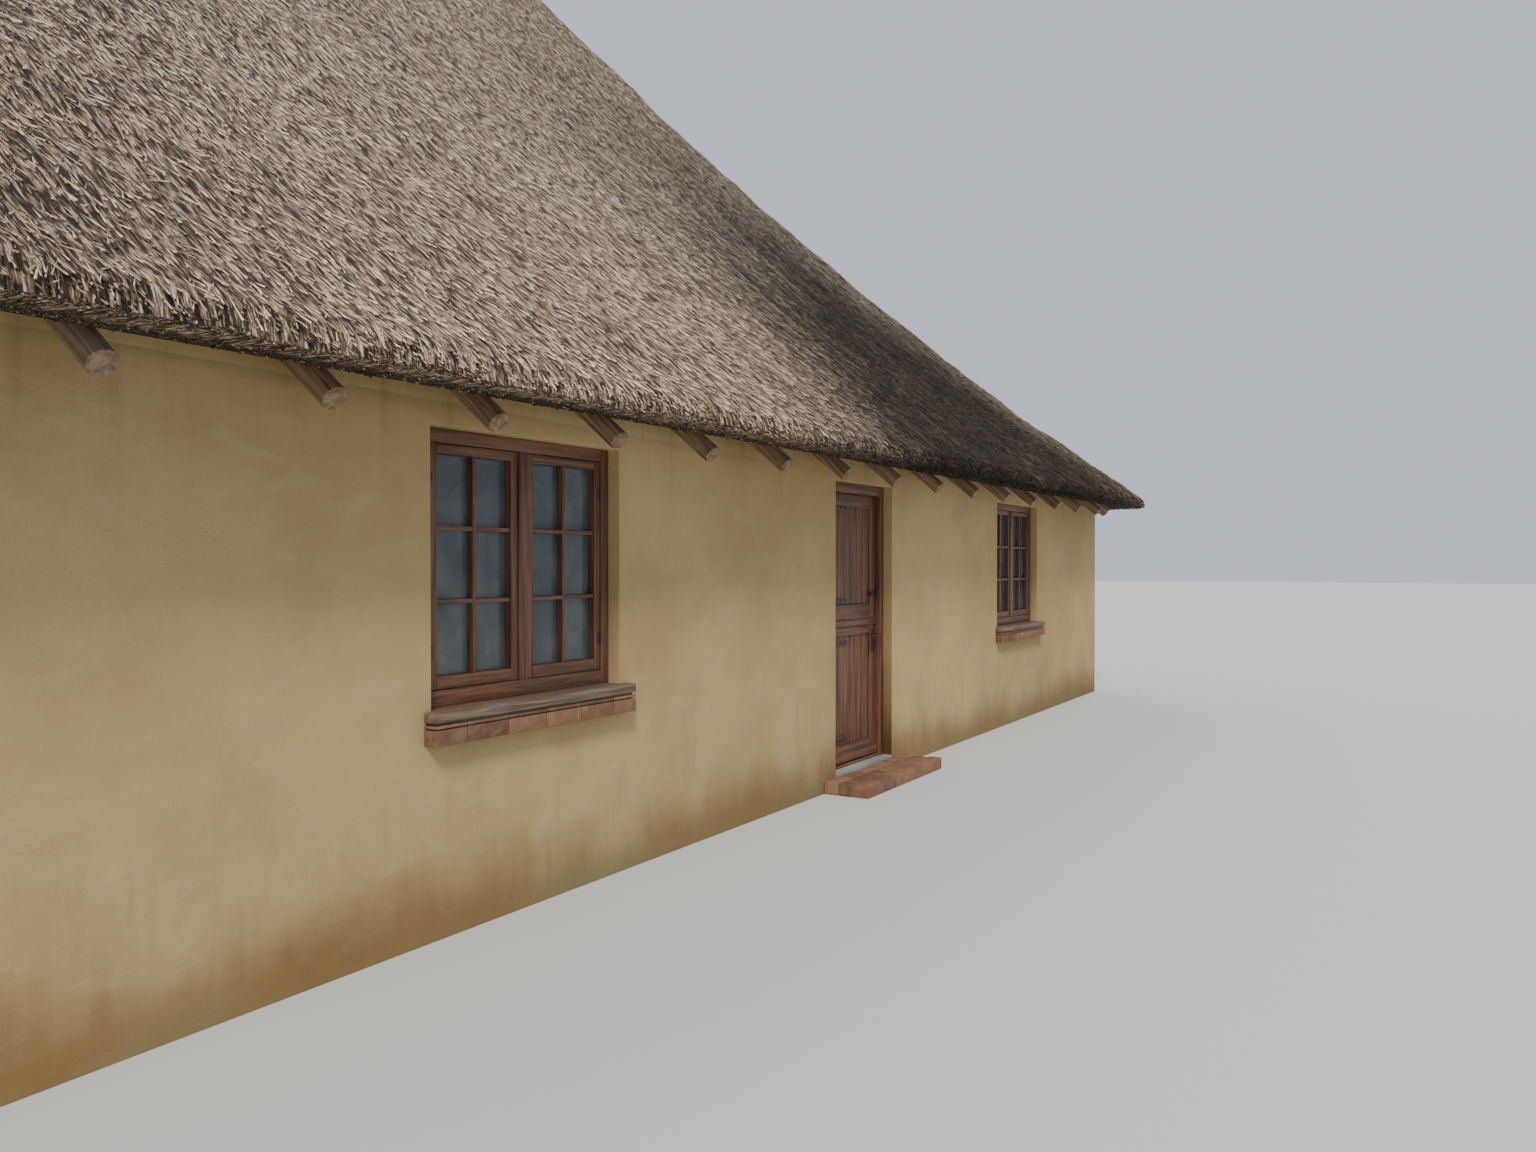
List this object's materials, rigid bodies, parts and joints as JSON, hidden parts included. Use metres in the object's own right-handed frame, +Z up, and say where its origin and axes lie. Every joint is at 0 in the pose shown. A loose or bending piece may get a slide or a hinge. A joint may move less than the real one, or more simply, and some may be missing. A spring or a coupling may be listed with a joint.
{
  "type": "thatched cottage",
  "caption": "Single-storey cottage with plastered walls, timber windows and door, and a hipped pole roof under thick thatch that steepens to a mortar ridge.",
  "frame": {"origin": "on the ground, at the middle of the plan under the ridge", "axes": "+Z up, +X along the ridge, the front wall with the door faces -Y"},
  "size_m": [14, 11.2, 8.0644],
  "materials": {
    "plaster": "painted ochre plaster on brick, matt, slightly uneven",
    "thatch": "weathered grey-brown reed thatch, darker along the hips",
    "mortar": "weathered grey-brown cement mortar, trowelled",
    "roof_poles": "debarked round poles, dry and checked",
    "sawn_timber": "rough sawn softwood",
    "stained_timber": "red-brown stained joinery, satin, a little faded",
    "brick": "red-brown clay brick, matt",
    "concrete": "steel-floated concrete, matt",
    "window_glass": "clear float glass, slightly dusty"
  },
  "bodies": {
    "root": {"floor_slab": "concrete", "door_step": "brick", "front_wall": "plaster", "back_wall": "plaster", "left_wall": "plaster", "right_wall": "plaster", "front_eave_fill": "plaster", "back_eave_fill": "plaster", "left_eave_fill": "plaster", "right_eave_fill": "plaster", "front_wall_plate": "sawn_timber", "back_wall_plate": "sawn_timber", "left_wall_plate": "sawn_timber", "right_wall_plate": "sawn_timber", "front_rafters": "roof_poles", "back_rafters": "roof_poles", "left_rafters": "roof_poles", "right_rafters": "roof_poles", "ridge_pole": "roof_poles", "front_thatch": "thatch", "back_thatch": "thatch", "left_thatch": "thatch", "right_thatch": "thatch", "ridge_cap": "mortar", "front_left_window_frame": "stained_timber", "front_left_window_glass": "window_glass", "front_left_window_sill": "brick", "front_right_window_frame": "stained_timber", "front_right_window_glass": "window_glass", "front_right_window_sill": "brick", "back_left_window_frame": "stained_timber", "back_left_window_glass": "window_glass", "back_left_window_sill": "brick", "back_right_window_frame": "stained_timber", "back_right_window_glass": "window_glass", "back_right_window_sill": "brick", "left_window_frame": "stained_timber", "left_window_glass": "window_glass", "left_window_sill": "brick", "right_window_frame": "stained_timber", "right_window_glass": "window_glass", "right_window_sill": "brick", "door_frame": "stained_timber", "door_leaf": "stained_timber"}
  },
  "joints": []
}
